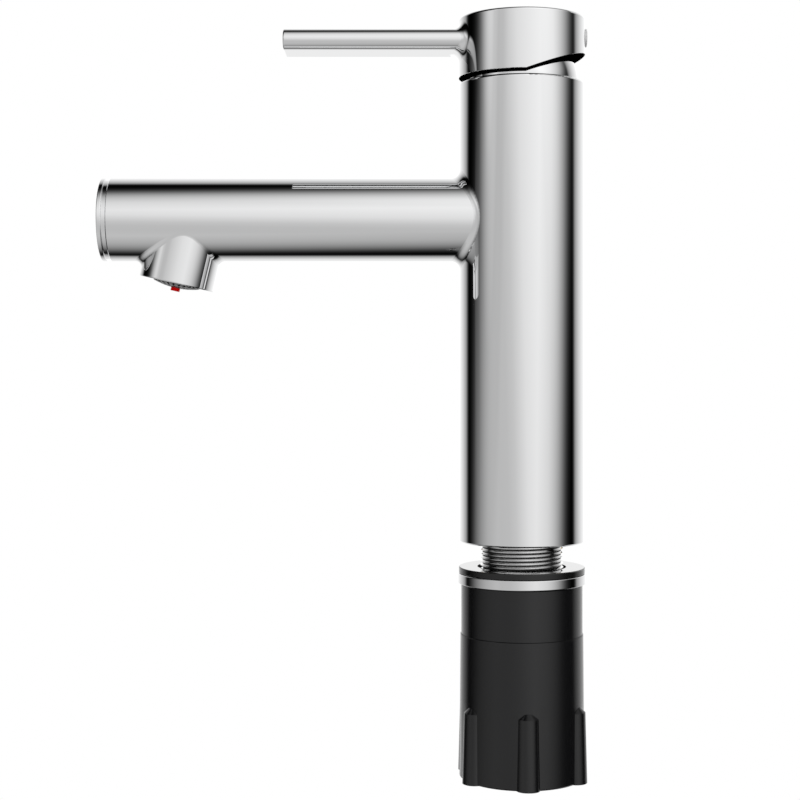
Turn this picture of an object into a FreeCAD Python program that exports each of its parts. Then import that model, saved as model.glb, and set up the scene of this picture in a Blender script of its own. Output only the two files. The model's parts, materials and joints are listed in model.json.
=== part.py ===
import FreeCAD, Part
import math
import os

from FreeCAD import Vector

# A basin mixer tap with one lever: a round column with a straight spout, a lever head that
# turns and tilts on a ceramic disc cartridge, and a threaded shank with its clamping set.
# The origin is the centre of the column's foot, where it stands on the basin. +Z is up,
# and the spout and the lever point along -X. Lengths are millimetres, angles are degrees.

# Clearances between mating pieces
thread_clearance = 0.05
press_clearance = 0.02
seat_clearance = 0.10
running_clearance = 0.10
stacking_gap = 0.30
past = 2.0
near = 0.01

# Column
column_radius = 24.0
column_height = 177.2
column_wall = 3.2
column_floor = 8.0
column_foot_chamfer = 0.5
column_top_round = 1.0
stop_groove_depth = 0.8
stop_ring_width = 2.0
stop_ring_height = 1.4
stop_ring_mouth = 9.0

# Spout, measured from the column's axis and down from the column's top
spout_radius = 16.0
spout_wall = 2.0
spout_drop = 52.9
spout_reach = 158.7
spout_blend = 3.4
spout_spigot_step = 1.0
spout_end_chamfer = 0.4

# End cap of the spout
cap_disc = 1.8
cap_disc_round = 0.4
cap_shadow_gap = 1.5
cap_shadow_depth = 0.7
cap_plug_length = 9.0
cap_bore_depth = 6.0
cap_wall = 2.6
cap_seal_width = 2.0
cap_seal_depth = 1.6
cap_seal_inset = 4.0

# Outlet nozzle, back from the spout's end, whose axis leans away from the column
nozzle_radius = 14.5
nozzle_tilt = 12.8
nozzle_setback = 25.1
nozzle_drop = 24.9
nozzle_blend = 2.4
nozzle_edge = 0.5

# Aerator, in the nozzle
aerator_radius = 9.2
aerator_depth = 8.6
aerator_rim_inset = 0.3
aerator_dome = 1.5
aerator_wall = 1.4
aerator_lip = 1.3
aerator_gasket_height = 1.2
aerator_gasket_width = 2.5
aerator_waterway_inset = 1.8
serration_count = 24
serration_radius = 0.45
serration_proud = 0.35
grille_height = 1.4
grille_hole_radius = 0.62
grille_ring_step = 1.75
grille_ring_count = 3
grille_first_holes = 4
grille_more_holes = 6
core_disc_height = 2.2
core_hole_count = 12
core_hole_radius = 0.7
core_peg_radius = 1.75
core_peg_proud = 1.2

# Head gap over the column, and the pivot of the lever in the plane of the head's rim
head_gap = 1.8
tilt_range = 22.0

# Lever head
head_overhang = 0.35
head_wall = 1.8
head_top_thickness = 3.45
head_roof_dip = 2.15
head_top_round = 1.0
head_rim_round = 0.2
head_rim_slope = 19.8
boss_radius = 8.5
boss_height = 8.3

# Lever bar
lever_reach = 91.8
lever_width = 22.2
lever_thickness = 8.0
lever_drop = 9.3
lever_blend = 3.7
lever_end_round = 0.6

# Grub screw and its cover plug, on the side away from the lever
screw_drop = 7.35
screw_radius = 2.5
screw_socket = 2.5
screw_socket_depth = 2.4
plug_radius = 3.5
plug_proud = 0.7
plug_head_inset = 0.75
plug_stem_radius = 2.9
plug_stem_wall = 0.8
plug_round = 0.25

# Dome collar under the head, whose sphere is centred below the pivot
head_running_gap = 0.9
dome_drop = 2.3
collar_wall = 1.6
collar_mouth_inset = 4.9
collar_seat_depth = 2.2

# Valve core in the column
core_cup_wall = 3.1
core_top_gap = 0.2
core_foot_drop = 24.3
core_window_radius = 8.0
core_window_inner = 8.5
core_duct_radius = 3.6
core_seal_width = 2.4
core_seal_depth = 1.5
core_seal_margin = 2.0
inlet_radius = 4.5
inlet_depth = 12.0
inlet_duct_radius = 2.4

# Cartridge, listed from its foot up
cartridge_clearance = 0.15
base_height = 6.5
base_pocket_depth = 1.6
peg_radius = 1.4
peg_length = 2.0
peg_x = 8.5
peg_y = 11.0
port_seal_height = 1.2
port_seal_width = 1.6
port_seal_inset = 0.7
disc_seal_height = 1.1
fixed_disc_height = 3.2
fixed_disc_inset = 2.3
moving_disc_height = 2.8
moving_disc_inset = 4.1
moving_disc_shift = 2.0
mixing_pocket_depth = 1.4
mixing_pocket_inset = 1.8
mixing_pocket_edge = 0.6
inlet_port_x = -2.0
inlet_port_inset = 4.0
outlet_port_inset = 3.7
outlet_port_radius = 3.4
carrier_height = 6.8
carrier_floor = 0.8
rotor_flange_height = 2.6
rotor_top_rise = 5.2
rotor_shoulder = 2.2
housing_wall = 2.15
housing_neck_step = 0.4
housing_neck_wall = 1.55
housing_top_rise = 2.2
housing_shoulder_roof = 0.5

# Stem and its pivot pin
stem_size = 8.0
stem_side_clearance = 0.1
stem_blade_drop = 6.8
stem_arm = 12.4
stem_arm_width = 2.4
stem_tip_radius = 2.4
stem_tip_clearance = 0.2
stem_top_gap = 1.0
pin_radius = 2.0
pin_inset = 0.7

# Retaining nut
nut_thread_wall = 1.8
nut_height = 4.8
nut_slot_count = 4
nut_slot_width = 3.0
nut_slot_depth = 1.5

# Threaded shank
shank_radius = 16.0
shank_wall = 3.3
shank_length = 62.0
thread_pitch = 1.5
thread_depth = 0.92
thread_root_flat = 0.25
thread_crest_flat = 0.2
thread_shoulder = 1.0

# Seal in the column's foot
foot_seal_inner = 18.5
foot_seal_width = 3.4
foot_seal_height = 1.5

# Clamping set below the basin
deck_gap = 9.7
gasket_radius = 24.3
gasket_hole_clearance = 1.1
gasket_thickness = 2.5
gasket_round = 0.4
washer_radius = 24.6
washer_hole_clearance = 0.4
washer_thickness = 3.75
washer_round = 0.3
spacer_radius = 23.4
spacer_height = 19.55
spacer_wall = 6.2
spacer_top_chamfer = 0.5
spacer_chamfer = 0.08
clamp_gap = 0.06
ribbed_nut_top_radius = 23.7
ribbed_nut_foot_radius = 24.1
ribbed_nut_height = 55.1
ribbed_nut_thread = 20.0
ribbed_nut_wall = 3.8
ribbed_nut_round = 0.08
ribbed_nut_foot_round = 0.5
rib_count = 6
rib_turn = 1.9
rib_length = 26.7
rib_nose_length = 1.9
rib_nose_width = 3.8
rib_nose_proud = 0.3
rib_top_proud = 2.1
rib_foot_proud = 2.6
rib_top_width = 8.1
rib_foot_width = 9.0
rib_flat = 0.6
rib_root_inset = 0.9

# Heights and radii that follow from the sizes above
pivot_height = column_height + head_gap
spout_height = column_height - spout_drop
column_bore = column_radius - column_wall
core_radius = column_bore - seat_clearance
cartridge_bore = core_radius - core_cup_wall
cartridge_radius = cartridge_bore - cartridge_clearance
chamber_radius = cartridge_radius - housing_wall
head_radius = column_radius + head_overhang
head_cavity = head_radius - head_wall
dome_radius = head_cavity - head_running_gap
collar_bore = dome_radius + seat_clearance
collar_mouth = dome_radius - collar_mouth_inset
collar_seat = column_height - collar_seat_depth
dome_height = pivot_height - dome_drop
head_roof = pivot_height + dome_radius - head_roof_dip
head_top = head_roof + head_top_thickness
lever_height = head_top - lever_drop
lever_room = lever_drop - lever_thickness / 2 - head_top_round - near
screw_height = head_top - screw_drop
plug_seat = head_radius - plug_head_inset
core_top = collar_seat - core_top_gap
core_foot = spout_height - core_foot_drop
core_stop = core_foot - stop_ring_height
spout_bore = spout_radius - spout_wall
spout_spigot = spout_radius - spout_spigot_step
shank_bore = shank_radius - shank_wall
foot_seal_outer = foot_seal_inner + foot_seal_width
nozzle_reach = spout_reach - nozzle_setback
nozzle_height = spout_height - nozzle_drop
nozzle_depth = nozzle_drop / math.cos(math.radians(nozzle_tilt))
aerator_bore = aerator_radius + thread_clearance
aerator_dome_radius = (aerator_bore ** 2 + aerator_dome ** 2) / aerator_dome / 2
aerator_rim = aerator_radius - aerator_rim_inset
aerator_inner = aerator_radius - aerator_wall
grille_radius = aerator_inner - press_clearance

# The cartridge's levels, counted down from the pivot
tip_height = pivot_height - stem_arm
moving_disc_top = tip_height - stem_tip_radius - stem_tip_clearance - carrier_floor
carrier_top = moving_disc_top + carrier_height
moving_disc_low = moving_disc_top - moving_disc_height
fixed_disc_low = moving_disc_low - fixed_disc_height
disc_seal_low = fixed_disc_low - disc_seal_height
base_top = disc_seal_low + base_pocket_depth
cartridge_seat = base_top - base_height
rotor_low = carrier_top + stacking_gap
rotor_flange_top = rotor_low + rotor_flange_height
housing_ceiling = rotor_flange_top + stacking_gap
housing_shoulder = rotor_low + housing_shoulder_roof

fixed_disc_radius = chamber_radius - fixed_disc_inset
moving_disc_radius = chamber_radius - moving_disc_inset
inlet_port_y = moving_disc_radius - inlet_port_inset
outlet_port_x = moving_disc_radius - outlet_port_inset
neck_radius = chamber_radius - housing_neck_step
neck_bore = neck_radius - housing_neck_wall
rotor_flange_radius = neck_bore - running_clearance
rotor_radius = rotor_flange_radius - rotor_shoulder
nut_bore = core_radius - nut_thread_wall + thread_clearance
nut_radius = nut_bore - thread_clearance

# The clamping set's levels, counted down from the basin's underside
gasket_top = -deck_gap
washer_top = gasket_top - gasket_thickness
spacer_top = washer_top - washer_thickness
ribbed_nut_top = spacer_top - spacer_height - clamp_gap
ribbed_nut_foot = ribbed_nut_top - ribbed_nut_height


def cylinder(radius, low, high, x=0.0, y=0.0):
    """An upright cylinder from one height to another."""
    return Part.makeCylinder(radius, high - low, Vector(x, y, low))


def ring(outer, inner, low, high, x=0.0, y=0.0):
    """An upright ring with a square section."""
    return cylinder(outer, low, high, x, y).cut(cylinder(inner, low - past, high + past, x, y))


def block(x_low, x_high, y_half, z_low, z_high):
    """A box that lies evenly on both sides of the XZ plane."""
    return Part.makeBox(x_high - x_low, 2 * y_half, z_high - z_low, Vector(x_low, -y_half, z_low))


def turned(outline):
    """A solid turned about Z from a closed outline of (radius, height) points."""
    points = [Vector(radius, 0, height) for radius, height in outline]
    face = Part.Face(Part.makePolygon(points + points[:1]))
    return face.revolve(Vector(0, 0, 0), Vector(0, 0, 1), 360)


def along_spout(outline):
    """A solid turned about the spout's axis from (distance from the column's axis, radius) points."""
    points = [Vector(-reach, 0, spout_height + radius) for reach, radius in outline]
    face = Part.Face(Part.makePolygon(points + points[:1]))
    return face.revolve(Vector(0, 0, spout_height), Vector(1, 0, 0), 360)


def in_nozzle(shape):
    """A shape built upright on the outlet's centre, moved to the nozzle with its lean."""
    placed = shape.copy()
    placed.rotate(Vector(0, 0, 0), Vector(0, 1, 0), nozzle_tilt)
    placed.translate(Vector(-nozzle_reach, 0, nozzle_height))
    return placed


def around(shape, count, first_angle=0.0):
    """Copies of a shape, evenly spaced about Z."""
    copies = []
    for index in range(count):
        copy = shape.copy()
        copy.rotate(Vector(0, 0, 0), Vector(0, 0, 1), first_angle + 360.0 * index / count)
        copies.append(copy)
    return copies


def sample_points(edge):
    """Five points along an edge."""
    first, last = edge.ParameterRange
    return [edge.valueAt(first + (last - first) * step / 4.0) for step in range(5)]


def edges_on(shape, *surfaces):
    """The edges whose points all lie on each of the given surfaces."""
    return [
        edge
        for edge in shape.Edges
        if all(surface(point) for surface in surfaces for point in sample_points(edge))
    ]


def on_round(radius):
    """A test for points on an upright cylinder about Z."""
    return lambda point: abs(math.hypot(point.x, point.y) - radius) < near


def on_level(height):
    """A test for points at one height."""
    return lambda point: abs(point.z - height) < near


def on_reach(reach):
    """A test for points at one distance along the spout."""
    return lambda point: abs(point.x + reach) < near


def on_spout(radius):
    """A test for points on a cylinder about the spout's axis."""
    return lambda point: abs(math.hypot(point.y, point.z - spout_height) - radius) < near


def on_nozzle(radius):
    """A test for points on a cylinder about the nozzle's axis."""
    lean = math.radians(nozzle_tilt)

    def test(point):
        across = (point.x + nozzle_reach) * math.cos(lean)
        across -= (point.z - nozzle_height) * math.sin(lean)
        return abs(math.hypot(across, point.y) - radius) < near

    return test


def on_nozzle_face(point):
    """True for points in the plane of the outlet."""
    lean = math.radians(nozzle_tilt)
    along = (point.x + nozzle_reach) * math.sin(lean) + (point.z - nozzle_height) * math.cos(lean)
    return abs(along) < near


def spout_rod(radius, reach):
    """A cylinder on the spout's axis, from the column's axis outwards."""
    return Part.makeCylinder(radius, reach, Vector(0, 0, spout_height), Vector(-1, 0, 0))


def column_tube():
    """The column's tube, with the hole that the spout is brazed into and the core's stop groove."""
    tube = cylinder(column_radius, 0.0, column_height)
    tube = tube.makeChamfer(column_foot_chamfer, edges_on(tube, on_level(0.0)))
    tube = tube.makeFillet(column_top_round, edges_on(tube, on_level(column_height)))
    hollows = [
        cylinder(column_bore, -past, column_height + past),
        cylinder(collar_bore, collar_seat, column_height + past),
        cylinder(foot_seal_outer, -past, foot_seal_height),
        cylinder(column_bore + stop_groove_depth, core_stop, core_foot),
        spout_rod(spout_spigot + press_clearance, column_radius + past),
    ]
    return tube.cut(hollows)


def spout_tube():
    """The spout and its nozzle, with a spigot in the column's wall and a blend outside it."""
    column = cylinder(column_radius, 0.0, column_height)
    body = column.fuse(spout_rod(spout_radius, spout_reach))
    body = body.makeFillet(spout_blend, edges_on(body, on_round(column_radius), on_spout(spout_radius)))
    spigot = spout_rod(spout_spigot, spout_radius + column_radius)
    spigot = spigot.cut(cylinder(column_bore, 0.0, column_height))
    body = body.cut(column).fuse(spigot).removeSplitter()
    body = body.fuse(in_nozzle(cylinder(nozzle_radius, 0.0, nozzle_depth)))
    body = body.makeFillet(nozzle_blend, edges_on(body, on_spout(spout_radius), on_nozzle(nozzle_radius)))
    body = body.makeFillet(nozzle_edge, edges_on(body, on_nozzle_face, on_nozzle(nozzle_radius)))
    end_edge = edges_on(body, on_reach(spout_reach), on_spout(spout_radius))
    body = body.makeChamfer(spout_end_chamfer, end_edge)
    hollows = [
        spout_rod(spout_bore, spout_reach + past),
        in_nozzle(cylinder(aerator_bore, -past, aerator_depth)),
        in_nozzle(cylinder(aerator_radius - aerator_waterway_inset, -past, nozzle_depth)),
    ]
    return body.cut(hollows)


def foot_bushing():
    """The threaded ring brazed into the column's foot, which holds the shank."""
    return turned([
        (shank_radius + thread_clearance, 0.0),
        (foot_seal_inner, 0.0),
        (foot_seal_inner, foot_seal_height),
        (column_bore - press_clearance, foot_seal_height),
        (column_bore - press_clearance, column_floor),
        (shank_radius + thread_clearance, column_floor),
    ])


def core_stop_ring():
    """The open snap ring in the column's groove, on which the core rests."""
    outer = column_bore + stop_groove_depth - press_clearance
    whole = ring(outer, column_bore - stop_ring_width, core_stop, core_foot)
    return whole.cut(block(0.0, column_radius, stop_ring_mouth / 2, core_stop - past, core_foot + past))


def spout_end_cap():
    """A plug with a cover disc, held off the tube's end by a narrow shadow gap."""
    disc_inner = spout_reach + cap_shadow_gap
    disc_outer = disc_inner + cap_disc
    plug = spout_bore - press_clearance
    groove_low = spout_reach - cap_seal_inset
    outline = [
        (disc_outer, 0.0),
        (disc_outer, spout_radius),
        (disc_inner, spout_radius),
        (disc_inner, spout_radius - cap_shadow_depth),
        (spout_reach, spout_radius - cap_shadow_depth),
        (spout_reach, plug),
        (groove_low, plug),
        (groove_low, spout_bore - cap_seal_depth),
        (groove_low - cap_seal_width, spout_bore - cap_seal_depth),
        (groove_low - cap_seal_width, plug),
        (spout_reach - cap_plug_length, plug),
        (spout_reach - cap_plug_length, plug - cap_wall),
        (spout_reach - cap_plug_length + cap_bore_depth, plug - cap_wall),
        (spout_reach - cap_plug_length + cap_bore_depth, 0.0),
    ]
    cap = along_spout(outline)
    cap = cap.makeFillet(cap_disc_round, edges_on(cap, on_reach(disc_outer), on_spout(spout_radius)))
    return cap.makeFillet(cap_disc_round, edges_on(cap, on_reach(disc_inner), on_spout(spout_radius)))


def end_cap_o_ring():
    """The ring squeezed between the cap's groove and the spout's bore."""
    groove_low = spout_reach - cap_seal_inset
    return along_spout([
        (groove_low, spout_bore - cap_seal_depth),
        (groove_low, spout_bore),
        (groove_low - cap_seal_width, spout_bore),
        (groove_low - cap_seal_width, spout_bore - cap_seal_depth),
    ])


def aerator_gasket():
    """The flat washer between the aerator and the nozzle's shoulder."""
    low = aerator_depth - aerator_gasket_height
    return in_nozzle(ring(aerator_radius, aerator_radius - aerator_gasket_width, low, aerator_depth))


def outlet_dome():
    """The ball that gives the aerator's lower face its shallow dome."""
    return Part.makeSphere(aerator_dome_radius, Vector(0, 0, aerator_dome_radius - aerator_dome))


def aerator_housing():
    """The screwed insert, whose domed rim has radial notches for a key."""
    top = aerator_depth - aerator_gasket_height
    shell = turned([
        (aerator_inner - aerator_lip, -aerator_dome),
        (aerator_rim, -aerator_dome),
        (aerator_rim, 0.0),
        (aerator_radius, 0.0),
        (aerator_radius, top),
        (aerator_inner, top),
        (aerator_inner, 0.0),
        (aerator_inner - aerator_lip, 0.0),
    ])
    centre = Vector(0, 0, -serration_proud)
    notch = Part.makeCylinder(serration_radius, aerator_radius, centre, Vector(1, 0, 0))
    return in_nozzle(shell.common(outlet_dome()).cut(around(notch, serration_count)))


def aerator_grille():
    """The perforated plate, domed below, that rests on the housing's inner lip."""
    plate = cylinder(grille_radius, 0.0, grille_height)
    lip_bore = aerator_inner - aerator_lip
    plate = plate.fuse(cylinder(lip_bore - press_clearance, -aerator_dome, grille_height))
    plate = plate.removeSplitter().common(outlet_dome())
    holes = [cylinder(core_peg_radius + running_clearance, -past, grille_height + past)]
    for index in range(grille_ring_count):
        distance = core_peg_radius + (index + 1) * grille_ring_step
        hole = cylinder(grille_hole_radius, -past, grille_height + past, distance)
        holes += around(hole, grille_first_holes + (index + 1) * grille_more_holes)
    return in_nozzle(plate.cut(holes))


def aerator_core():
    """The pierced distributor disc, with a peg that shows through the grille."""
    top = aerator_depth - aerator_gasket_height
    low = top - core_disc_height
    disc = cylinder(grille_radius, low, top)
    peg = cylinder(core_peg_radius, -aerator_dome - core_peg_proud, top)
    hole = cylinder(core_hole_radius, low - past, top + past, grille_radius - 2 * core_hole_radius)
    return in_nozzle(disc.fuse(peg).cut(around(hole, core_hole_count)).removeSplitter())


def port_positions():
    """Each cartridge port: its centre and the radius of its duct."""
    return [
        (inlet_port_x, inlet_port_y, inlet_duct_radius),
        (inlet_port_x, -inlet_port_y, inlet_duct_radius),
        (outlet_port_x, 0.0, outlet_port_radius),
    ]


def locating_pegs(radius, low, high):
    """The pair of pegs, or their holes, that stop the cartridge from turning."""
    return [cylinder(radius, low, high, peg_x, side * peg_y) for side in (-1, 1)]


def valve_core():
    """The brass insert with the cartridge's cup, the two inlets and the way to the spout."""
    core = cylinder(core_radius, core_foot, core_top)
    bend = Vector(outlet_port_x, 0, spout_height)
    window = Vector(-core_window_inner, 0, spout_height)
    tools = [
        cylinder(cartridge_bore, cartridge_seat, core_top + past),
        cylinder(nut_bore, housing_shoulder - past, core_top + past),
        cylinder(outlet_port_radius, spout_height, cartridge_seat + past, outlet_port_x),
        Part.makeCylinder(core_duct_radius, outlet_port_x + core_radius + past, bend, Vector(-1, 0, 0)),
        Part.makeSphere(core_duct_radius, bend),
        Part.makeCylinder(core_window_radius, core_radius, window, Vector(-1, 0, 0)),
    ]
    for side in (-1, 1):
        y = side * inlet_port_y
        tools.append(cylinder(inlet_radius, core_foot - past, core_foot + inlet_depth, inlet_port_x, y))
        tools.append(cylinder(inlet_duct_radius, core_foot, cartridge_seat + past, inlet_port_x, y))
    hole_foot = cartridge_seat - peg_length - stacking_gap
    tools += locating_pegs(peg_radius + seat_clearance, hole_foot, cartridge_seat + past)
    for low in core_seal_levels():
        tools.append(ring(core_radius + past, core_radius - core_seal_depth, low, low + core_seal_width))
    return core.cut(tools)


def core_seal_levels():
    """The lower edges of the core's two ring grooves, below and above the spout's bore."""
    reach = spout_bore + core_seal_margin
    return [spout_height - reach - core_seal_width, spout_height + reach]


def core_o_rings():
    """The two rings that close the column's bore below and above the spout."""
    inner = core_radius - core_seal_depth
    rings = [ring(column_bore, inner, low, low + core_seal_width) for low in core_seal_levels()]
    return Part.makeCompound(rings)


def cartridge_base():
    """The cartridge's foot, with its ports, seal pockets and locating pegs."""
    pocket_top = cartridge_seat + port_seal_height
    base = cylinder(cartridge_radius, cartridge_seat, base_top)
    base = base.fuse(locating_pegs(peg_radius, cartridge_seat - peg_length, pocket_top))
    tools = [cylinder(fixed_disc_radius + seat_clearance, disc_seal_low, base_top + past)]
    for x, y, radius in port_positions():
        tools.append(cylinder(radius, cartridge_seat - past, base_top + past, x, y))
        inner = radius + port_seal_inset
        tools.append(ring(inner + port_seal_width, inner, cartridge_seat - past, pocket_top, x, y))
    return base.cut(tools)


def port_seals():
    """The three rings under the cartridge, one round each port."""
    top = cartridge_seat + port_seal_height
    rings = []
    for x, y, radius in port_positions():
        inner = radius + port_seal_inset
        rings.append(ring(inner + port_seal_width, inner, cartridge_seat, top, x, y))
    return Part.makeCompound(rings)


def pierced_disc(radius, low, high):
    """A disc with the cartridge's three ports through it."""
    holes = [cylinder(port, low - past, high + past, x, y) for x, y, port in port_positions()]
    return cylinder(radius, low, high).cut(holes)


def disc_seal():
    """The soft pad between the base and the fixed disc."""
    return pierced_disc(fixed_disc_radius, disc_seal_low, fixed_disc_low)


def fixed_disc():
    """The lower ceramic disc, which stays still."""
    return pierced_disc(fixed_disc_radius, fixed_disc_low, moving_disc_low)


def moving_disc():
    """The upper ceramic disc, with a pocket below that joins the ports when it slides."""
    disc = cylinder(moving_disc_radius, moving_disc_low, moving_disc_top, moving_disc_shift)
    pocket_top = moving_disc_low + mixing_pocket_depth
    pocket = cylinder(
        moving_disc_radius - mixing_pocket_inset, moving_disc_low - past, pocket_top, moving_disc_shift
    )
    edge = inlet_port_x + inlet_duct_radius + mixing_pocket_edge
    left = block(
        edge - 2 * moving_disc_radius, edge, moving_disc_radius, moving_disc_low - past, pocket_top
    )
    return disc.cut(pocket.cut(left))


def disc_carrier():
    """The plastic cap on the moving disc, with the slot that the stem's tip pushes."""
    carrier = cylinder(moving_disc_radius, moving_disc_top, carrier_top, moving_disc_shift)
    half = stem_tip_radius + stem_tip_clearance
    side = stem_size / 2 + stem_side_clearance
    return carrier.cut(block(-half, half, side, moving_disc_top + carrier_floor, carrier_top + past))


def stem_reach(height):
    """How far the tilted stem's side gets from the axis at a height from the pivot."""
    tilt = math.radians(tilt_range)
    return stem_size / 2 / math.cos(tilt) + height * math.tan(tilt) + stacking_gap


def cartridge_rotor():
    """The turning sleeve that carries the stem's pin, trapped under the housing's top."""
    rotor = cylinder(rotor_flange_radius, rotor_low, rotor_flange_top)
    rotor = rotor.fuse(cylinder(rotor_radius, rotor_low, pivot_height + rotor_top_rise)).removeSplitter()
    slot = block(
        -stem_reach(stem_blade_drop),
        stem_reach(rotor_top_rise),
        stem_size / 2 + stem_side_clearance,
        rotor_low - past,
        pivot_height + rotor_top_rise + past,
    )
    start = Vector(0, -2 * rotor_radius, pivot_height)
    hole = Part.makeCylinder(pin_radius, 4 * rotor_radius, start, Vector(0, 1, 0))
    return rotor.cut([slot, hole])


def pivot_pin():
    """The steel pin on which the stem tilts."""
    half = rotor_radius - pin_inset
    return Part.makeCylinder(pin_radius, 2 * half, Vector(0, -half, pivot_height), Vector(0, 1, 0))


def lever_stem():
    """The square stem, with the pin's hole and a rounded lower arm for the disc carrier."""
    half = stem_size / 2
    blade = block(-half, half, half, pivot_height - stem_blade_drop, head_roof - stem_top_gap)
    arm = block(-stem_arm_width / 2, stem_arm_width / 2, half, tip_height, pivot_height)
    tip = Part.makeCylinder(stem_tip_radius, stem_size, Vector(0, -half, tip_height), Vector(0, 1, 0))
    hole = Part.makeCylinder(
        pin_radius + running_clearance, 2 * stem_size, Vector(0, -stem_size, pivot_height), Vector(0, 1, 0)
    )
    return blade.fuse([arm, tip]).removeSplitter().cut(hole)


def cartridge_housing():
    """The cartridge's cover: a chamber for the discs and a neck for the rotor."""
    return turned([
        (chamber_radius, base_top),
        (cartridge_radius, base_top),
        (cartridge_radius, housing_shoulder),
        (neck_radius, housing_shoulder),
        (neck_radius, pivot_height + housing_top_rise),
        (rotor_radius + running_clearance, pivot_height + housing_top_rise),
        (rotor_radius + running_clearance, housing_ceiling),
        (neck_bore, housing_ceiling),
        (neck_bore, rotor_low - running_clearance),
        (chamber_radius, rotor_low - running_clearance),
    ])


def retaining_nut():
    """The slotted ring nut that clamps the cartridge down in the core."""
    nut = ring(nut_radius, neck_radius + seat_clearance, housing_shoulder, housing_shoulder + nut_height)
    top = housing_shoulder + nut_height
    half = nut_slot_width / 2
    slot = Part.makeBox(
        nut_radius + past, nut_slot_width, nut_slot_depth + past, Vector(0, -half, top - nut_slot_depth)
    )
    return nut.cut(around(slot, nut_slot_count))


def dome_collar():
    """The chromed collar under the head: a short skirt and a zone of a sphere."""
    inner = dome_radius - collar_wall
    skirt = ring(dome_radius, inner, collar_seat, dome_height)
    centre = Vector(0, 0, dome_height)
    zone = Part.makeSphere(dome_radius, centre).cut(Part.makeSphere(inner, centre))
    mouth = cylinder(collar_mouth, dome_height - past, dome_height + 2 * dome_radius)
    lower = cylinder(2 * dome_radius, dome_height - 2 * dome_radius, dome_height)
    return zone.cut([lower, mouth]).fuse(skirt).removeSplitter()


def obround_bar(length):
    """The lever's flat bar with round edges, along -X from the column's axis."""
    half_flat = (lever_width - lever_thickness) / 2
    half_height = lever_thickness / 2
    low = lever_height - half_height
    high = lever_height + half_height
    edges = []
    for side in (-1, 1):
        outer = Vector(0, side * (half_flat + half_height), lever_height)
        ends = (Vector(0, side * half_flat, low), Vector(0, side * half_flat, high))
        edges.append(Part.Arc(ends[0], outer, ends[1]).toShape())
    for height in (low, high):
        ends = (Vector(0, -half_flat, height), Vector(0, half_flat, height))
        edges.append(Part.LineSegment(ends[0], ends[1]).toShape())
    outline = Part.Wire(Part.__sortEdges__(edges))
    return Part.Face(outline).extrude(Vector(-length, 0, 0))


def rim_slope_tool():
    """What is cut from the head's rim on the far side, so that it can tilt over the column."""
    reach = head_radius + past
    rise = reach * math.tan(math.radians(head_rim_slope))
    outline = [
        Vector(0, -reach, pivot_height - past),
        Vector(0, -reach, pivot_height),
        Vector(reach, -reach, pivot_height + rise),
        Vector(reach, -reach, pivot_height - past),
    ]
    return Part.Face(Part.makePolygon(outline + outline[:1])).extrude(Vector(0, 2 * reach, 0))


def lever_handle():
    """The lever head and its bar: one casting, hollow below, with a socket for the stem."""
    head = cylinder(head_radius, pivot_height, head_top).cut(rim_slope_tool())
    rim_edges = [
        edge
        for edge in edges_on(head, on_round(head_radius))
        if not on_level(head_top)(edge.CenterOfMass) and edge.BoundBox.XLength > head_radius / 2
    ]
    head = head.makeFillet(head_rim_round, rim_edges)
    handle = head.fuse(obround_bar(lever_reach))
    blend_edges = edges_on(handle, on_round(head_radius), in_lever_zone)
    handle = handle.makeFillet(min(lever_blend, lever_room), blend_edges)
    handle = handle.makeFillet(lever_end_round, edges_on(handle, on_reach(lever_reach)))
    handle = handle.makeFillet(head_top_round, edges_on(handle, on_level(head_top), on_round(head_radius)))
    cavity = cylinder(head_cavity, pivot_height - past, head_roof)
    boss = cylinder(boss_radius, head_roof - boss_height, head_roof + past)
    half = stem_size / 2 + press_clearance
    tools = [
        cavity.cut(boss),
        across_head(cylinder(screw_radius + press_clearance, 0.0, head_radius + past)),
        across_head(cylinder(plug_radius + press_clearance, plug_seat, head_radius + past)),
        across_head(cylinder(plug_stem_radius + press_clearance, head_cavity - past, head_radius + past)),
        block(-half, half, half, head_roof - boss_height - past, head_roof - stem_top_gap / 2),
    ]
    return handle.cut(tools)


def in_lever_zone(point):
    """True for points on the lever's side of the head, as high as the bar."""
    return point.x < 0 and abs(point.z - lever_height) < lever_thickness / 2 + near


def hexagon(across, low, high):
    """An upright hexagonal prism, sized across its flats."""
    radius = across / math.sqrt(3.0)
    corners = [
        Vector(radius * math.cos(math.radians(60 * step)), radius * math.sin(math.radians(60 * step)), low)
        for step in range(6)
    ]
    return Part.Face(Part.makePolygon(corners + corners[:1])).extrude(Vector(0, 0, high - low))


def across_head(shape):
    """A shape built along +Z from the origin, laid along +X at the grub screw's height."""
    placed = shape.copy()
    placed.rotate(Vector(0, 0, 0), Vector(0, 1, 0), 90)
    placed.translate(Vector(0, 0, screw_height))
    return placed


def grub_screw():
    """The set screw that holds the head on the stem."""
    body = cylinder(screw_radius, stem_size / 2, boss_radius)
    socket = hexagon(screw_socket, boss_radius - screw_socket_depth, boss_radius + past)
    return across_head(body.cut(socket))


def screw_plug():
    """The push-in cover of the grub screw's hole."""
    face = head_radius + plug_proud
    head = cylinder(plug_radius, plug_seat, face)
    head = head.makeFillet(plug_round, edges_on(head, on_level(face), on_round(plug_radius)))
    sleeve = ring(plug_stem_radius, plug_stem_radius - plug_stem_wall, head_cavity, plug_seat)
    return across_head(head.fuse(sleeve).removeSplitter())


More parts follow.
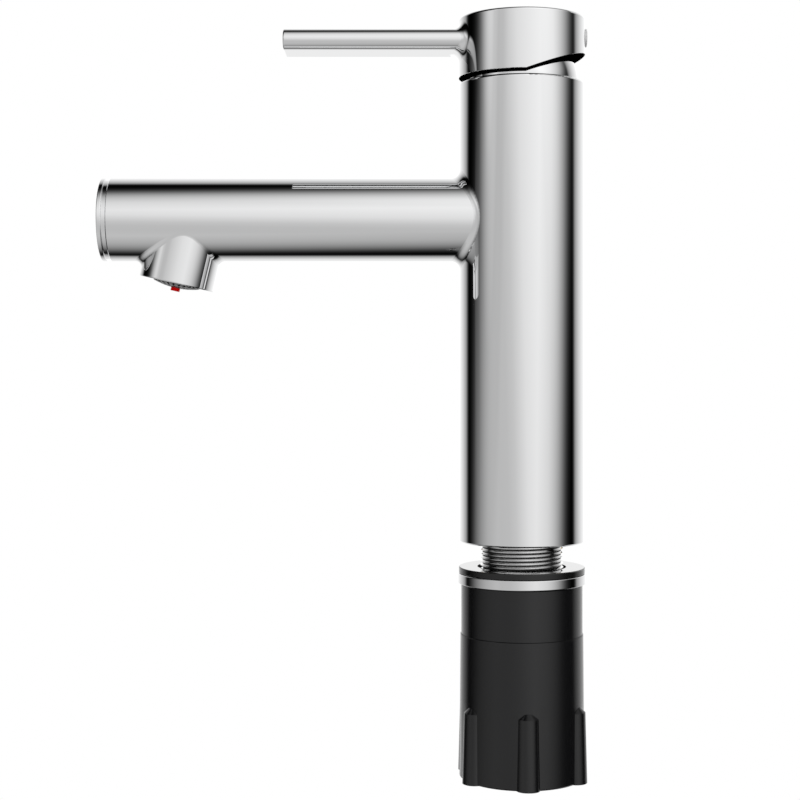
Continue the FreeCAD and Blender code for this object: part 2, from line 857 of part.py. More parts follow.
def threaded_shank():
    """The hollow threaded shank, screwed into the column's floor."""
    outline = [
        (shank_bore, -shank_length),
        (shank_bore, column_floor),
        (shank_radius, column_floor),
    ]
    half_root = thread_root_flat / 2
    half_mouth = (thread_pitch - thread_crest_flat) / 2
    turns = int((shank_length - thread_shoulder) / thread_pitch) - 1
    for turn in range(turns):
        centre = -thread_shoulder - half_mouth - turn * thread_pitch
        outline += [
            (shank_radius, centre + half_mouth),
            (shank_radius - thread_depth, centre + half_root),
            (shank_radius - thread_depth, centre - half_root),
            (shank_radius, centre - half_mouth),
        ]
    outline += [(shank_radius, -shank_length + thread_depth), (shank_radius - thread_depth, -shank_length)]
    return turned(outline)


def foot_seal():
    """The ring in the column's foot that seals it on the basin."""
    return ring(foot_seal_outer, foot_seal_inner, 0.0, foot_seal_height)


def rubber_gasket():
    """The soft washer that meets the basin from below."""
    gasket = ring(gasket_radius, shank_radius + gasket_hole_clearance, washer_top, gasket_top)
    for level in (gasket_top, washer_top):
        rim = edges_on(gasket, on_round(gasket_radius), on_level(level))
        gasket = gasket.makeFillet(gasket_round, rim)
    return gasket


def steel_washer():
    """The metal pressure washer."""
    washer = ring(washer_radius, shank_radius + washer_hole_clearance, spacer_top, washer_top)
    for level in (washer_top, spacer_top):
        rim = edges_on(washer, on_round(washer_radius), on_level(level))
        washer = washer.makeFillet(washer_round, rim)
    return washer


def clamp_spacer():
    """The plastic thrust sleeve between the washer and the nut."""
    foot = spacer_top - spacer_height
    return turned([
        (spacer_radius - spacer_wall, foot),
        (spacer_radius - spacer_chamfer, foot),
        (spacer_radius, foot + spacer_chamfer),
        (spacer_radius, spacer_top - spacer_top_chamfer),
        (spacer_radius - spacer_top_chamfer, spacer_top),
        (spacer_radius - spacer_wall, spacer_top),
    ])


def rib_section(width, outer, height):
    """A rib's outline at one height: a strip whose front is round but for a narrow flat."""
    half = width / 2
    corner = (width - rib_flat) / 2
    inner = ribbed_nut_top_radius - ribbed_nut_wall + rib_root_inset
    turn = corner * (1 - math.sqrt(0.5))
    ends = []
    for side in (-1, 1):
        ends.append([
            Vector(inner, side * half, height),
            Vector(outer - corner, side * half, height),
            Vector(outer - turn, side * (half - turn), height),
            Vector(outer, side * (half - corner), height),
        ])
    right, left = ends
    edges = [
        Part.LineSegment(right[0], right[1]).toShape(),
        Part.Arc(right[1], right[2], right[3]).toShape(),
        Part.LineSegment(right[3], left[3]).toShape(),
        Part.Arc(left[3], left[2], left[1]).toShape(),
        Part.LineSegment(left[1], left[0]).toShape(),
        Part.LineSegment(left[0], right[0]).toShape(),
    ]
    return Part.Wire(edges)


def nut_side_radius(height):
    """The tapered nut's outer radius at a height."""
    share = (ribbed_nut_top - height) / ribbed_nut_height
    return ribbed_nut_top_radius + share * (ribbed_nut_foot_radius - ribbed_nut_top_radius)


def ribbed_nut():
    """The long hand nut, threaded at the top, hollow below and ribbed for grip."""
    inner = ribbed_nut_foot_radius - ribbed_nut_wall
    thread_foot = ribbed_nut_top - ribbed_nut_thread
    nut = turned([
        (shank_radius + thread_clearance, thread_foot),
        (shank_radius + thread_clearance, ribbed_nut_top),
        (ribbed_nut_top_radius - ribbed_nut_round, ribbed_nut_top),
        (ribbed_nut_top_radius, ribbed_nut_top - ribbed_nut_round),
        (ribbed_nut_foot_radius, ribbed_nut_foot + ribbed_nut_foot_round),
        (ribbed_nut_foot_radius - ribbed_nut_foot_round, ribbed_nut_foot),
        (inner, ribbed_nut_foot),
        (inner, thread_foot - (inner - shank_radius)),
    ])
    shoulder = ribbed_nut_foot + rib_length
    tip = shoulder + rib_nose_length
    foot_reach = ribbed_nut_foot_radius + rib_foot_proud
    sections = [
        rib_section(rib_foot_width, foot_reach, ribbed_nut_foot),
        rib_section(rib_top_width, nut_side_radius(shoulder) + rib_top_proud, shoulder),
        rib_section(rib_nose_width, nut_side_radius(tip) + rib_nose_proud, tip),
    ]
    rib = Part.makeLoft(sections, True, True)
    return nut.fuse(around(rib, rib_count, rib_turn + 360.0 / rib_count / 2))


def save(makers):
    """Build each node and write it to its own file."""
    os.makedirs("parts", exist_ok=True)
    for maker in makers:
        maker().exportStep(os.path.join("parts", maker.__name__ + ".step"))


save([
    column_tube,
    spout_tube,
    foot_bushing,
    core_stop_ring,
    spout_end_cap,
    end_cap_o_ring,
    aerator_gasket,
    aerator_housing,
    aerator_grille,
    aerator_core,
    valve_core,
    core_o_rings,
    cartridge_base,
    port_seals,
    disc_seal,
    fixed_disc,
    moving_disc,
    disc_carrier,
    cartridge_rotor,
    pivot_pin,
    lever_stem,
    cartridge_housing,
    retaining_nut,
    dome_collar,
    lever_handle,
    grub_screw,
    screw_plug,
    threaded_shank,
    foot_seal,
    rubber_gasket,
    steel_washer,
    clamp_spacer,
    ribbed_nut,
])
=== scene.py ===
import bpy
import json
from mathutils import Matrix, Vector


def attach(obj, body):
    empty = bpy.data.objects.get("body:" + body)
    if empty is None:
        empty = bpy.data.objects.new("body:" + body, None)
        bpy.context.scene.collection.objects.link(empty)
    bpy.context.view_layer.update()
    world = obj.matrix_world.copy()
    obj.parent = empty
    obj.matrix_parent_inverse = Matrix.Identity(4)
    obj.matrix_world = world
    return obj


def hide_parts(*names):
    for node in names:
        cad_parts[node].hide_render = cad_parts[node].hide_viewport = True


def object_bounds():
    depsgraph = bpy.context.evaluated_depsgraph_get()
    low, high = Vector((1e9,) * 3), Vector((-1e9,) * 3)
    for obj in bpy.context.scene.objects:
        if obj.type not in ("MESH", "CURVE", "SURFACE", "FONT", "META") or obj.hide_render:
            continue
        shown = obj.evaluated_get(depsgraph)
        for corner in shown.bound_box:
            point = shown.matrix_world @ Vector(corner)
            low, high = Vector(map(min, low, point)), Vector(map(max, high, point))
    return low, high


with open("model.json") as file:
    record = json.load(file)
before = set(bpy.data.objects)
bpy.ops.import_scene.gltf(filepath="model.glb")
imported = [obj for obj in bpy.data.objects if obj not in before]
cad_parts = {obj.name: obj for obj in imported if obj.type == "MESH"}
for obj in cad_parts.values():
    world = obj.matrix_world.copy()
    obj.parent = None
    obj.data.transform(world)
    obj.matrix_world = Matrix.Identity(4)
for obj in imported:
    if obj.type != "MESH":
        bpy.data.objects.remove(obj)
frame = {"nodes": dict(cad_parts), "record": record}

"""Looks for a single-lever basin mixer tap: mirror chrome, black mouldings, rubber and a turned
thread, in a light tent and seen from the photograph's angle."""

import json
import logging
import math
from dataclasses import dataclass
from enum import Enum
from typing import Dict, List, Sequence, Tuple, Union

import bmesh
import bpy
from mathutils import Matrix, Vector

MM = 0.001
CAD_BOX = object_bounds()

log = logging.getLogger("tap")

Colour = Tuple[float, float, float]
Place = Tuple[float, float, float]
Stops = Sequence[Tuple[float, float]]
Socket = bpy.types.NodeSocket
Value = Union[float, Sequence[float], Socket]
MeshItems = List[Union[bmesh.types.BMVert, bmesh.types.BMEdge, bmesh.types.BMFace]]

WHITE = (1.0, 1.0, 1.0, 1.0)
HALF_TURN = 180.0

# The curve between a display grey and linear light
WHITE_LEVEL = 255.0
DARK_END = 0.04045
DARK_SLOPE = 12.92
CURVE_OFFSET = 0.055
CURVE_POWER = 2.4


def light_of(grey: float) -> float:
    """Turns a display grey into linear light.

    Args:
        grey: A display value from 0 to 255.

    Returns:
        The light, where 1 is white.
    """
    share = grey / WHITE_LEVEL
    if share <= DARK_END:
        return share / DARK_SLOPE
    return ((share + CURVE_OFFSET) / (1.0 + CURVE_OFFSET)) ** CURVE_POWER


def solid(colour: Sequence[float]) -> Tuple[float, ...]:
    """Gives a colour its fourth part, full opacity.

    Args:
        colour: Red, green and blue.

    Returns:
        The four parts.
    """
    return tuple(colour) + (1.0,)


def whole(shape: bmesh.types.BMesh) -> MeshItems:
    """Lists all that a mesh holds.

    Args:
        shape: The mesh under work.

    Returns:
        Its points, edges and faces.
    """
    return shape.verts[:] + shape.edges[:] + shape.faces[:]


class Blend(Enum):
    """How two colours are put together."""

    MIX = "MIX"
    MULTIPLY = "MULTIPLY"
    ADD = "ADD"
    DARKEN = "DARKEN"


class Shading:
    """Adds nodes to one shader tree and links them.

    The colour sockets of a Mix node share their names with others, so they are told by number.
    """

    MIX_SHARE = 0
    MIX_FIRST = 6
    MIX_SECOND = 7
    MIX_RESULT = 2

    def __init__(self, owner: Union[bpy.types.Material, bpy.types.World]) -> None:
        """Starts with an empty tree.

        Args:
            owner: The material or world that the tree belongs to.
        """
        owner.use_nodes = True
        self.tree = owner.node_tree
        self.tree.nodes.clear()

    def add(self, kind: str, inputs: Dict[Union[str, int], Value], **settings: str) -> bpy.types.Node:
        """Adds a node.

        Args:
            kind: The node's type name without its ShaderNode prefix.
            inputs: Values for its sockets, or sockets to link from, by name or number.
            settings: Attributes set before the inputs.

        Returns:
            The node.
        """
        node = self.tree.nodes.new("ShaderNode" + kind)
        for name, value in settings.items():
            setattr(node, name, value)
        for name, value in inputs.items():
            if isinstance(value, bpy.types.NodeSocket):
                self.tree.links.new(value, node.inputs[name])
            else:
                node.inputs[name].default_value = value
        return node

    def math(self, operation: str, *values: Value) -> Socket:
        """Adds a sum, product or function of plain numbers.

        Args:
            operation: The operation's name.
            values: Its operands.

        Returns:
            The result's socket.
        """
        return self.add("Math", dict(enumerate(values)), operation=operation).outputs[0]

    def dot(self, first: Value, second: Value) -> Socket:
        """Adds the scalar product of two vectors.

        Args:
            first: One vector.
            second: The other vector.

        Returns:
            The product's socket.
        """
        return self.add("VectorMath", {0: first, 1: second}, operation="DOT_PRODUCT").outputs["Value"]

    def ramp(self, factor: Socket, low: float, high: float, stops: Stops) -> Socket:
        """Adds a grey ramp over a range.

        Args:
            factor: The socket that the ramp reads.
            low: The factor's value at the ramp's start.
            high: The factor's value at the ramp's end.
            stops: Pairs of factor and linear light.

        Returns:
            The grey's socket.
        """
        share = self.add("MapRange", {"Value": factor, "From Min": low, "From Max": high})
        node = self.add("ValToRGB", {"Fac": share.outputs["Result"]})
        elements = node.color_ramp.elements
        while len(elements) < len(stops):
            elements.new(1.0)
        for element, (place, light) in zip(elements, stops):
            element.position = (place - low) / (high - low)
            element.color = solid((light, light, light))
        return node.outputs["Color"]

    def reach(self, place: Socket) -> Socket:
        """Adds the distance from the part's upright axis.

        Args:
            place: Object coordinates.

        Returns:
            The distance's socket, in metres.
        """
        parts = self.add("SeparateXYZ", {0: place})
        flat = self.add("CombineXYZ", {"X": parts.outputs["X"], "Y": parts.outputs["Y"]})
        return self.add("VectorMath", {0: flat.outputs[0]}, operation="LENGTH").outputs["Value"]

    def height(self, place: Socket) -> Socket:
        """Adds the upright part of a place or a direction.

        Args:
            place: Object coordinates or a normal.

        Returns:
            The height's socket, in metres for a place.
        """
        return self.add("SeparateXYZ", {0: place}).outputs["Z"]

    def noise(self, place: Socket, scale: float, detail: float) -> Socket:
        """Adds smooth noise.

        Args:
            place: Object coordinates.
            scale: How fine it is.
            detail: How many finer layers it has.

        Returns:
            The noise's socket, from 0 to 1.
        """
        return self.add("TexNoise", {"Vector": place, "Scale": scale, "Detail": detail}).outputs["Fac"]

    def mix(self, share: Value, first: Value, second: Value, blend: Blend = Blend.MIX) -> Socket:
        """Mixes two colours.

        Args:
            share: How much of the second.
            first: The first colour.
            second: The second colour.
            blend: How they are put together.

        Returns:
            The mixed colour's socket.
        """
        sockets = {self.MIX_SHARE: share, self.MIX_FIRST: first, self.MIX_SECOND: second}
        node = self.add("Mix", sockets, data_type="RGBA", blend_type=blend.value)
        return node.outputs[self.MIX_RESULT]

    def choose(self, share: Value, first: Socket, second: Socket) -> Socket:
        """Mixes two shaders.

        Args:
            share: How much of the second.
            first: The first shader.
            second: The second shader.

        Returns:
            The mixed shader's socket.
        """
        return self.add("MixShader", {0: share, 1: first, 2: second}).outputs[0]


@dataclass(frozen=True)
class Finish:
    """A surface finish: a base colour and roughness that fine noise breaks up, over a faint grain.

    The scales are per metre, and the grain's height is in metres.
    """

    name: str
    colour: Colour
    roughness: float
    metallic: float = 0.0
    specular: float = 0.5
    colour_spread: float = 0.04
    roughness_spread: float = 0.03
    patch_scale: float = 80.0
    patch_detail: float = 2.0
    grain_scale: float = 1500.0
    grain_detail: float = 3.0
    grain_height: float = 0.000002

    def material(self) -> bpy.types.Material:
        """Builds the finish on first use.

        Returns:
            The material.
        """
        known = bpy.data.materials.get(self.name)
        if known:
            return known
        material = bpy.data.materials.new(self.name)
        shading = Shading(material)
        place = shading.add("TexCoord", {}).outputs["Object"]
        patch = shading.noise(place, self.patch_scale, self.patch_detail)
        grain = shading.noise(place, self.grain_scale, self.grain_detail)
        rough = shading.add("MapRange", {
            "Value": patch,
            "To Min": max(0.0, self.roughness - self.roughness_spread),
            "To Max": self.roughness + self.roughness_spread,
        })
        dark = solid([part * (1.0 - self.colour_spread) for part in self.colour])
        pale = solid([min(1.0, part * (1.0 + self.colour_spread)) for part in self.colour])
        bump = shading.add("Bump", {"Height": grain, "Strength": 1.0, "Distance": self.grain_height})
        shader = shading.add("BsdfPrincipled", {
            "Base Color": shading.mix(patch, dark, pale),
            "Roughness": rough.outputs["Result"],
            "Normal": bump.outputs["Normal"],
            "Metallic": self.metallic,
            "Specular IOR Level": self.specular,
        })
        shading.add("OutputMaterial", {"Surface": self.surface(shading, place, shader.outputs[0])})
        return material

    def surface(self, shading: Shading, place: Socket, shader: Socket) -> Socket:
        """Gives the finished surface.

        Args:
            shading: The tree under work.
            place: Object coordinates.
            shader: The finish's own shader.

        Returns:
            The shader that goes to the output.
        """
        return shader


@dataclass(frozen=True)
class HollowFinish(Finish):
    """A finish that stops at a wall: the inside and the rim's underside are near black, painted shade
    for the shadow under the rim.

    Lengths are millimetres. A face belongs to the underside when the upright part of its normal
    is below the slope.
    """

    wall_radius: float = 24.0
    rim_radius: float = 24.4
    rim_slope: float = -0.5
    inner_top: float = 199.1
    painted_shade_colour: Colour = (0.0005, 0.0005, 0.0005)
    painted_shade_roughness: float = 0.5

    def surface(self, shading: Shading, place: Socket, shader: Socket) -> Socket:
        """Gives the finish outside and painted shade inside and under the rim.

        Args:
            shading: The tree under work.
            place: Object coordinates.
            shader: The finish's own shader.

        Returns:
            The mixed shader's socket.
        """
        reach = shading.reach(place)
        inside = shading.math("LESS_THAN", reach, self.wall_radius * MM)
        normal = shading.add("NewGeometry", {}).outputs["True Normal"]
        down = shading.math("LESS_THAN", shading.height(normal), self.rim_slope)
        rim = shading.math("MULTIPLY", down, shading.math("LESS_THAN", reach, self.rim_radius * MM))
        hidden = shading.math("MAXIMUM", inside, rim)
        below = shading.math("LESS_THAN", shading.height(place), self.inner_top * MM)
        # Painted shade: near black inside the head and under its rim.
        dark = shading.add("BsdfPrincipled", {
            "Base Color": solid(self.painted_shade_colour),
            "Roughness": self.painted_shade_roughness,
            "Specular IOR Level": 0.0,
        })
        return shading.choose(shading.math("MULTIPLY", hidden, below), shader, dark.outputs[0])


@dataclass(frozen=True)
class SheenTopFinish(Finish):
    """A finish whose level top face is made bright polished metal: painted sheen, a lit copy that
    stands in for the top face's reflection. Its height is in millimetres.
    """

    cap_height: float = -9.72
    sheen_colour: Colour = (0.7, 0.7, 0.7)
    sheen_edge: Colour = (0.85, 0.85, 0.85)
    sheen_roughness: float = 0.05

    def surface(self, shading: Shading, place: Socket, shader: Socket) -> Socket:
        """Gives the finish with its painted sheen on the top face.

        Args:
            shading: The tree under work.
            place: Object coordinates.
            shader: The finish's own shader.

        Returns:
            The mixed shader's socket.
        """
        # Painted sheen: the rubber's top face is bright metal, standing in for its reflection.
        bright = shading.add("BsdfPrincipled", {
            "Base Color": solid(self.sheen_colour),
            "Specular Tint": solid(self.sheen_edge),
            "Roughness": self.sheen_roughness,
            "Metallic": 1.0,
        })
        above = shading.math("GREATER_THAN", shading.height(place), self.cap_height * MM)
        return shading.choose(above, shader, bright.outputs[0])


@dataclass(frozen=True)
class RootShadeFinish(Finish):
    """A thread's finish with painted shade: it darkens to black in the roots. Lengths are millimetres.
    """

    floor_radius: float = 14.9
    root_radius: float = 15.08
    clear_radius: float = 15.27
    root_shade_colour: Colour = (0.01, 0.01, 0.01)
    root_shade_roughness: float = 0.5

    def surface(self, shading: Shading, place: Socket, shader: Socket) -> Socket:
        """Gives the finish with painted shade in the roots.

        Args:
            shading: The tree under work.
            place: Object coordinates.
            shader: The finish's own shader.

        Returns:
            The mixed shader's socket.
        """
        reach = shading.reach(place)
        # Painted shade: near black in the thread's roots.
        dark = shading.add("BsdfPrincipled", {
            "Base Color": solid(self.root_shade_colour),
            "Roughness": self.root_shade_roughness,
        })
        depth = shading.add("MapRange", {
            "Value": reach,
            "From Min": self.root_radius * MM,
            "From Max": self.clear_radius * MM,
            "To Min": 1.0,
            "To Max": 0.0,
        })
        outside = shading.math("GREATER_THAN", reach, self.floor_radius * MM)
        share = shading.math("MULTIPLY", outside, depth.outputs["Result"])
        return shading.choose(share, shader, dark.outputs[0])


CHROME_LOOK = {
    "colour": (0.87, 0.872, 0.876),
    "roughness": 0.012,
    "metallic": 1.0,
    "colour_spread": 0.004,
    "roughness_spread": 0.004,
    "grain_scale": 300.0,
    "grain_height": 0.0000004,
}
CHROME = Finish("chrome_plate", **CHROME_LOOK)
# The head's chrome carries painted shade inside and under its rim.
HEAD_CHROME = HollowFinish("chrome_head", **CHROME_LOOK)
BRASS = Finish("machined_brass", (0.71, 0.53, 0.26), 0.25, 1.0)
# The thread's finish carries painted shade in its roots.
THREAD = RootShadeFinish("plated_thread", (0.83, 0.83, 0.83), 0.06, 1.0, roughness_spread=0.02)
WASHER = Finish("plated_steel", (0.84, 0.84, 0.845), 0.05, 1.0, colour_spread=0.01,
                roughness_spread=0.015)
STEEL = Finish("turned_steel", (0.62, 0.62, 0.62), 0.25, 1.0)
DARK_STEEL = Finish("blackened_steel", (0.12, 0.12, 0.13), 0.35, 1.0)
BLACK_PLASTIC = Finish("black_moulding", (0.006, 0.006, 0.0065), 0.16, roughness_spread=0.02)
RUBBER = Finish("black_rubber", (0.008, 0.008, 0.008), 0.14, roughness_spread=0.02)
# The gasket's top face carries painted sheen.
GASKET = SheenTopFinish("rubber_with_painted_sheen", (0.007, 0.007, 0.007), 0.14, roughness_spread=0.02)
GREY_PLASTIC = Finish("dark_grey_moulding", (0.014, 0.016, 0.017), 0.3)
RED_PLASTIC = Finish("red_moulding", (1.0, 0.003, 0.003), 0.45, specular=0.05)
WHITE_PLASTIC = Finish("off_white_moulding", (0.8, 0.8, 0.77), 0.35)
BLUE_PLASTIC = Finish("blue_moulding", (0.05, 0.14, 0.42), 0.35)
CERAMIC = Finish("lapped_ceramic", (0.86, 0.84, 0.8), 0.12)
PLUG_PLASTIC = Finish("grey_plug", (0.6, 0.6, 0.6), 0.4)

FINISH_OF_SLOT: Dict[str, Finish] = {
    "chrome": CHROME,
    "brass": BRASS,
    "nickel_thread": THREAD,
    "zinc_steel": STEEL,
    "dark_steel": DARK_STEEL,
    "black_plastic": BLACK_PLASTIC,
    "black_rubber": RUBBER,
    "grey_plastic": GREY_PLASTIC,
    "red_plastic": RED_PLASTIC,
    "white_plastic": WHITE_PLASTIC,
    "blue_plastic": BLUE_PLASTIC,
    "ceramic": CERAMIC,
    "plug_plastic": PLUG_PLASTIC,
}
FINISH_OF_NODE: Dict[str, Finish] = {
    "lever_handle": HEAD_CHROME,
    "steel_washer": WASHER,
    "rubber_gasket": GASKET,
}


@dataclass(frozen=True)
class LightTent:
    """The light round the part: a white back, a black ring about it and a soft bright front.

    Angles are degrees from an axis. The back and the side have display greys as chrome shows them,
    the front, the left and the low back have linear light. The plate is the share of light that
    chrome reflects, and the twist bends the front's ring.
    """

    plate: float = 0.87
    back_axis: Place = (0.139, 0.985, 0.099)
    back: Stops = ((0, 255), (14, 253), (22, 242), (31, 233), (38, 222), (47, 203), (53, 181),
                   (58, 159), (62, 126), (65, 74), (68, 25), (71, 0), (74, 0))
    twist: float = 0.82
    front: Stops = ((71, 0.002), (75, 0.007), (78, 0.011), (81, 0.024), (84, 0.042), (88, 0.091),
                    (92, 0.165), (97, 0.29), (103, 0.447), (109, 0.597), (116, 0.746), (124, 0.89),
                    (134, 1.003), (146, 1.128))
    slant: Place = (1.0, -0.12, 1.22)
    slant_limit: float = 1.2
    side: Stops = ((-1, 178), (-0.7, 174), (-0.47, 176), (-0.25, 184), (-0.05, 197), (0.15, 209),
                   (0.36, 215), (0.6, 221), (0.85, 227), (1.1, 244))
    left_axis: Place = (-0.839, -0.319, 0.440)
    left: Stops = ((0, 0.69), (7, 0.75), (14, 0.67), (20, 0.24), (26, 0.06), (33, 0))
    low_back: Stops = ((-0.18, 0.91), (-0.08, 1.3))

    def angle(self, shading: Shading, cosine: Socket) -> Socket:
        """Turns a cosine into degrees.

        Args:
            shading: The tree under work.
            cosine: The cosine's socket.

        Returns:
            The angle's socket.
        """
        clipped = shading.math("MINIMUM", shading.math("MAXIMUM", cosine, -1.0), 1.0)
        return shading.math("DEGREES", shading.math("ARCCOSINE", clipped))

    def shown(self, stops: Stops) -> List[Tuple[float, float]]:
        """Turns greys as chrome shows them into the light that makes them.

        Args:
            stops: Pairs of place and display grey.

        Returns:
            Pairs of place and light.
        """
        return [(place, light_of(grey) / self.plate) for place, grey in stops]

    def round_axis(self, shading: Shading, cosine: Socket, stops: Stops) -> Socket:
        """Adds rings of light round an axis.

        Args:
            shading: The tree under work.
            cosine: The socket of the angle's cosine.
            stops: Pairs of degrees and linear light.

        Returns:
            The light's socket.
        """
        return shading.ramp(self.angle(shading, cosine), 0.0, HALF_TURN, stops)

    def build(self) -> None:
        """Makes the world: plain white behind the part, the tent in all that it reflects."""
        world = bpy.data.worlds.new("light_tent")
        bpy.context.scene.world = world
        shading = Shading(world)
        direction = shading.add("TexCoord", {}).outputs["Generated"]
        parts = shading.add("SeparateXYZ", {0: direction})
        toward = shading.dot(direction, self.back_axis)
        cross = shading.math("MULTIPLY", parts.outputs["X"], parts.outputs["Z"])
        twisted = shading.math("MULTIPLY_ADD", cross, -self.twist * self.back_axis[1], toward)
        rear = self.round_axis(shading, toward, self.shown(self.back))
        cap = shading.ramp(parts.outputs["Z"], -1.0, 1.0, self.low_back)
        rear = shading.mix(1.0, rear, cap, Blend.DARKEN)
        depth = self.round_axis(shading, twisted, self.front)
        slant = shading.dot(direction, self.slant)
        side = shading.ramp(slant, -self.slant_limit, self.slant_limit, self.shown(self.side))
        left = self.round_axis(shading, shading.dot(direction, self.left_axis), self.left)
        ahead = shading.mix(1.0, depth, shading.mix(1.0, side, left, Blend.ADD), Blend.MULTIPLY)
        tent = shading.mix(1.0, rear, ahead, Blend.ADD)
        camera = shading.add("LightPath", {}).outputs["Is Camera Ray"]
        seen = shading.mix(camera, tent, WHITE)
        background = shading.add("Background", {"Color": seen, "Strength": 1.0})
        shading.add("OutputWorld", {"Surface": background.outputs[0]})


@dataclass(frozen=True)
class Floor:
    """A plain white floor that the camera sees as part of the white ground."""

    half: float = 3.0
    grey: float = 0.85

    def build(self, height: float) -> None:
        """Lays the floor.

        Args:
            height: Its height in metres.
        """
        shape = bmesh.new()
        bmesh.ops.create_grid(shape, x_segments=1, y_segments=1, size=self.half,
                              matrix=Matrix.Translation((0.0, 0.0, height)))
        mesh = bpy.data.meshes.new("floor")
        shape.to_mesh(mesh)
        shape.free()
        floor = bpy.data.objects.new("floor", mesh)
        bpy.context.scene.collection.objects.link(floor)
        floor.visible_glossy = False
        material = bpy.data.materials.new("white_floor")
        shading = Shading(material)
        matt = shading.add("BsdfDiffuse", {"Color": solid((self.grey, self.grey, self.grey))})
        glow = shading.add("Emission", {"Color": WHITE, "Strength": 1.0})
        camera = shading.add("LightPath", {}).outputs["Is Camera Ray"]
        mixed = shading.choose(camera, matt.outputs[0], glow.outputs[0])
        shading.add("OutputMaterial", {"Surface": mixed})
        mesh.materials.append(material)


@dataclass(frozen=True)
class SoftLamp:
    """A large round lamp that gives matt light and no highlights. Lengths are metres, power watts."""

    place: Place = (0.45, -1.2, 1.0)
    aim: Place = (0.0, 0.0, 0.05)
    size: float = 1.2
    power: float = 8.0

    def build(self) -> None:
        """Hangs the lamp."""
        data = bpy.data.lights.new("soft_lamp", "AREA")
        data.shape = "DISK"
        data.size = self.size
        data.energy = self.power
        lamp = bpy.data.objects.new("soft_lamp", data)
        lamp.location = self.place
        way = Vector(self.aim) - Vector(self.place)
        lamp.rotation_euler = way.to_track_quat("-Z", "Y").to_euler()
        lamp.visible_glossy = False
        bpy.context.scene.collection.objects.link(lamp)


@dataclass(frozen=True)
class PhotoCamera:
    """The photograph's camera: level, looking along +Y. Lengths are millimetres."""

    x: float = -47.1
    y: float = -638.5
    z: float = 70.9
    focal_pixels: float = 1650.0
    frame_pixels: float = 800.0
    horizon_row: float = 357.9
    sensor: float = 36.0
    level_degrees: float = 90.0

    def build(self) -> None:
        """Makes the camera and gives it to the scene."""
        data = bpy.data.cameras.new("photo_camera")
        data.sensor_width = self.sensor
        data.lens = self.sensor * self.focal_pixels / self.frame_pixels
        data.shift_y = (self.horizon_row - self.frame_pixels / 2.0) / self.frame_pixels
        camera = bpy.data.objects.new("photo_camera", data)
        camera.location = (self.x * MM, self.y * MM, self.z * MM)
        camera.rotation_euler = (math.radians(self.level_degrees), 0.0, 0.0)
        bpy.context.scene.collection.objects.link(camera)
        bpy.context.scene.camera = camera


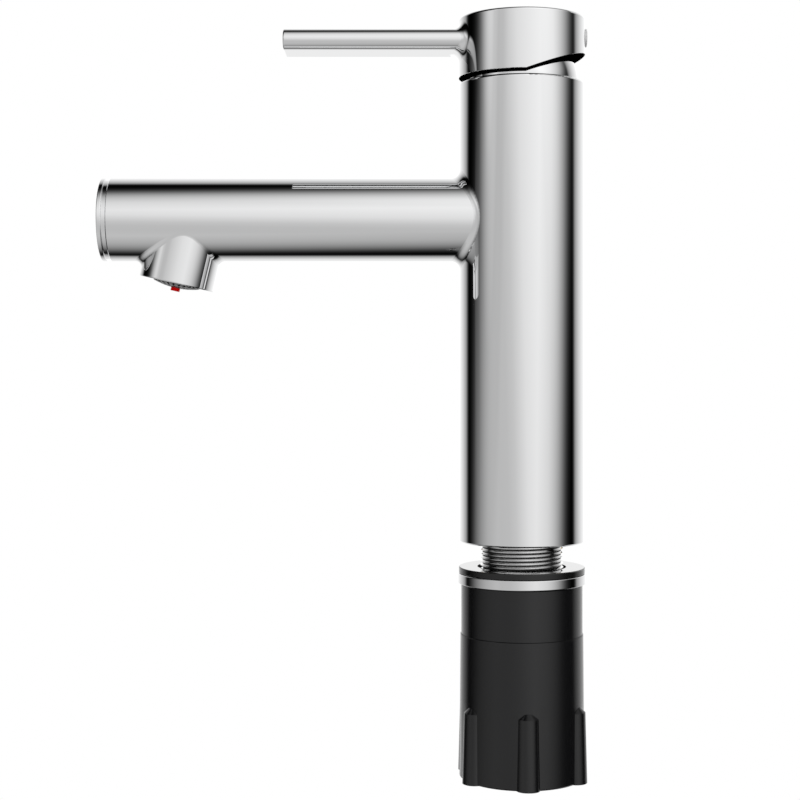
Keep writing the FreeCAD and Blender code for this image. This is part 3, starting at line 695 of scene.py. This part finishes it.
@dataclass(frozen=True)
class ThreadedShank:
    """The hollow shank with a true helical thread, in place of the model's row of grooves.

    Lengths are millimetres.
    """

    node: str = "threaded_shank"
    body: str = "root"
    slot: str = "nickel_thread"
    crest_radius: float = 16.0
    bore_radius: float = 12.7
    foot: float = -62.0
    top: float = 8.0
    pitch: float = 1.5
    depth: float = 0.92
    crest_flat: float = 0.2
    root_flat: float = 0.25
    phase: float = -0.38
    steps: int = 96
    spare_turns: int = 2
    sharp_degrees: float = 20.0
    merge_gap: float = 0.005
    cut_gap: float = 0.0005
    rim_gap: float = 0.01

    def profile(self, start: float) -> List[Vector]:
        """Gives one pitch of the thread's section.

        Args:
            start: The height of the section's lower end.

        Returns:
            Points from one crest to the next.
        """
        flank = (self.pitch - self.crest_flat - self.root_flat) / 2.0
        root = self.crest_radius - self.depth
        root_start = self.crest_flat + flank
        root_end = root_start + self.root_flat
        heights = (0.0, self.crest_flat, root_start, root_end, self.pitch)
        radii = (self.crest_radius, self.crest_radius, root, root, self.crest_radius)
        return [Vector((radius, 0.0, start + height)) * MM for radius, height in zip(radii, heights)]

    def wind(self, shape: bmesh.types.BMesh) -> None:
        """Winds the section into a helix that is longer than the shank, and cuts it level.

        Args:
            shape: The mesh under work.
        """
        start = self.foot - self.spare_turns * self.pitch + self.phase
        turns = math.ceil((self.top - self.foot) / self.pitch) + self.spare_turns
        verts = [shape.verts.new(point) for point in self.profile(start)]
        edges = [shape.edges.new(pair) for pair in zip(verts, verts[1:])]
        bmesh.ops.spin(shape, geom=verts + edges, axis=(0.0, 0.0, 1.0), cent=(0.0, 0.0, 0.0),
                       dvec=(0.0, 0.0, self.pitch * MM / self.steps), angle=math.tau,
                       steps=self.steps, use_merge=False)
        turn = whole(shape)
        for place in range(1, turns):
            copy = bmesh.ops.duplicate(shape, geom=turn)["geom"]
            points = [item for item in copy if isinstance(item, bmesh.types.BMVert)]
            bmesh.ops.translate(shape, verts=points, vec=(0.0, 0.0, place * self.pitch * MM))
        bmesh.ops.remove_doubles(shape, verts=shape.verts[:], dist=self.merge_gap * MM)
        for height, side in ((self.foot, -1.0), (self.top, 1.0)):
            bmesh.ops.bisect_plane(shape, geom=whole(shape), plane_co=(0.0, 0.0, height * MM),
                                   plane_no=(0.0, 0.0, side), clear_outer=True,
                                   dist=self.cut_gap * MM)

    def rims(self, shape: bmesh.types.BMesh, height: float) -> List[bmesh.types.BMEdge]:
        """Finds the open edges at one end.

        Args:
            shape: The mesh under work.
            height: The end's height.

        Returns:
            The edges of its outer and inner rims.
        """
        return [
            edge for edge in shape.edges
            if edge.is_boundary
            and all(abs(vert.co.z - height * MM) < self.rim_gap * MM for vert in edge.verts)
        ]

    def close(self, shape: bmesh.types.BMesh) -> None:
        """Adds the bore and the two flat ends.

        Args:
            shape: The mesh under work.
        """
        middle = (self.top + self.foot) / 2.0 * MM
        bmesh.ops.create_cone(shape, cap_ends=False, segments=self.steps,
                              radius1=self.bore_radius * MM, radius2=self.bore_radius * MM,
                              depth=(self.top - self.foot) * MM,
                              matrix=Matrix.Translation((0.0, 0.0, middle)))
        for height in (self.foot, self.top):
            bmesh.ops.triangle_fill(shape, edges=self.rims(shape, height), use_beauty=True)
        bmesh.ops.recalc_face_normals(shape, faces=shape.faces[:])

    def shade(self, shape: bmesh.types.BMesh) -> None:
        """Smooths the faces and keeps the thread's edges sharp.

        Args:
            shape: The mesh under work.
        """
        limit = math.radians(self.sharp_degrees)
        for face in shape.faces:
            face.smooth = True
        for edge in shape.edges:
            edge.smooth = edge.calc_face_angle(0.0) < limit

    def build(self, finish: Finish) -> None:
        """Makes the shank in the place of the model's node.

        Args:
            finish: Its finish.
        """
        shape = bmesh.new()
        self.wind(shape)
        self.close(shape)
        self.shade(shape)
        open_edges = sum(1 for edge in shape.edges if not edge.is_manifold)
        mesh = bpy.data.meshes.new("helical_shank")
        shape.to_mesh(mesh)
        shape.free()
        mesh.materials.append(finish.material())
        shank = bpy.data.objects.new("helical_shank", mesh)
        bpy.context.scene.collection.objects.link(shank)
        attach(shank, self.body)
        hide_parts(self.node)
        log.info("helical_shank: %d faces, %d open edges", len(mesh.polygons), open_edges)


class Dresser:
    """Gives every node of the model its finish."""

    def __init__(self) -> None:
        """Reads which slot each node has."""
        rows = frame["record"]["subparts"]
        self.slots: Dict[str, str] = {row["node"]: row["material_slot"] for row in rows}

    def finish_of(self, name: str) -> Finish:
        """Picks a node's finish.

        Args:
            name: The node's name.

        Returns:
            The finish.
        """
        return FINISH_OF_NODE.get(name, FINISH_OF_SLOT[self.slots[name]])

    def dress(self) -> None:
        """Puts the finishes on."""
        for name, node in frame["nodes"].items():
            finish = self.finish_of(name)
            node.data.materials.clear()
            node.data.materials.append(finish.material())
            log.info("%s: %s, %d faces", name, finish.name, len(node.data.polygons))


def main() -> None:
    """Builds the studio, the camera and the part's looks."""
    logging.basicConfig(level=logging.INFO, format="%(name)s: %(message)s")
    bpy.context.scene.view_settings.view_transform = "Standard"
    LightTent().build()
    Floor().build(CAD_BOX[0].z)
    SoftLamp().build()
    PhotoCamera().build()
    dresser = Dresser()
    dresser.dress()
    shank = ThreadedShank()
    shank.build(dresser.finish_of(shank.node))


if __name__ == "__main__":
    main()
